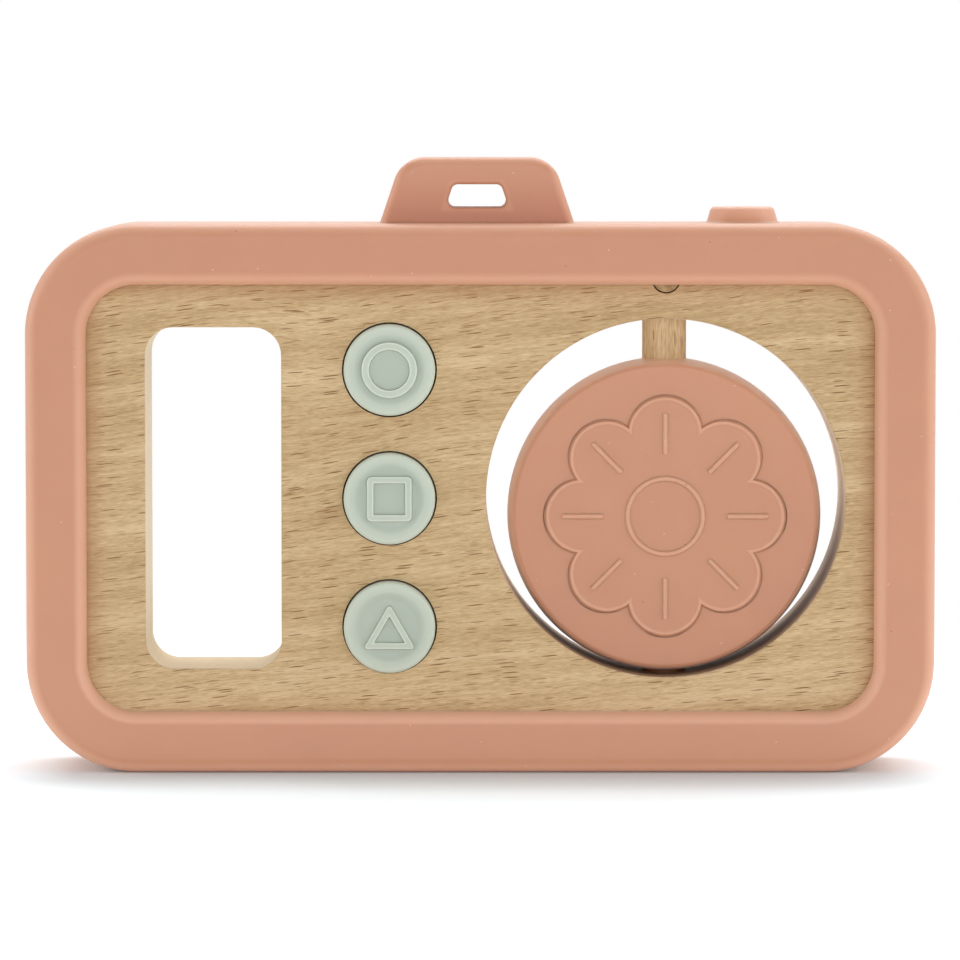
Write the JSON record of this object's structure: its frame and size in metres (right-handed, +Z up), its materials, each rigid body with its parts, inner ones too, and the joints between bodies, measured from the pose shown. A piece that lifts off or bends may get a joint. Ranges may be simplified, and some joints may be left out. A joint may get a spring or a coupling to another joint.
{
  "type": "toy camera",
  "caption": "Pretend camera for a small child: a beech board in a silicone frame, with a finger slot, push-through buttons and a lens that spins on a dowel.",
  "frame": {"origin": "on the ground under the middle of the frame: the bottom centre of the bounding box", "axes": "+X to the right seen from the front, +Y from the front to the back, +Z up"},
  "size_m": [0.135, 0.024, 0.0913],
  "materials": {
    "frame_silicone": "matte",
    "lens_silicone": "matte",
    "button_silicone": "matte",
    "beech": "matte",
    "dowel_beech": "matte"
  },
  "bodies": {
    "camera": {"silicone_frame": "frame_silicone", "beech_board": "beech", "lens_dowel": "dowel_beech", "dowel_lock_pin": "dowel_beech"},
    "circle_button": {"circle_button": "button_silicone"},
    "square_button": {"square_button": "button_silicone"},
    "triangle_button": {"triangle_button": "button_silicone"},
    "lens": {"lens_core": "beech", "lens_front_cover": "lens_silicone", "lens_back_cover": "lens_silicone"}
  },
  "joints": [
    {"name": "circle_press", "type": "slide", "parent": "camera", "child": "circle_button", "axis": [0, 1, 0], "range_m": [-0.00255, 0.00115]},
    {"name": "square_press", "type": "slide", "parent": "camera", "child": "square_button", "axis": [0, 1, 0], "range_m": [-0.00185, 0.00185]},
    {"name": "triangle_press", "type": "slide", "parent": "camera", "child": "triangle_button", "axis": [0, 1, 0], "range_m": [-0.00125, 0.00245]},
    {"name": "lens_spin", "type": "hinge", "parent": "camera", "child": "lens", "pos_m": [0.02754, 0, 0.0379], "axis": [0, 0, 1], "continuous": true}
  ]
}
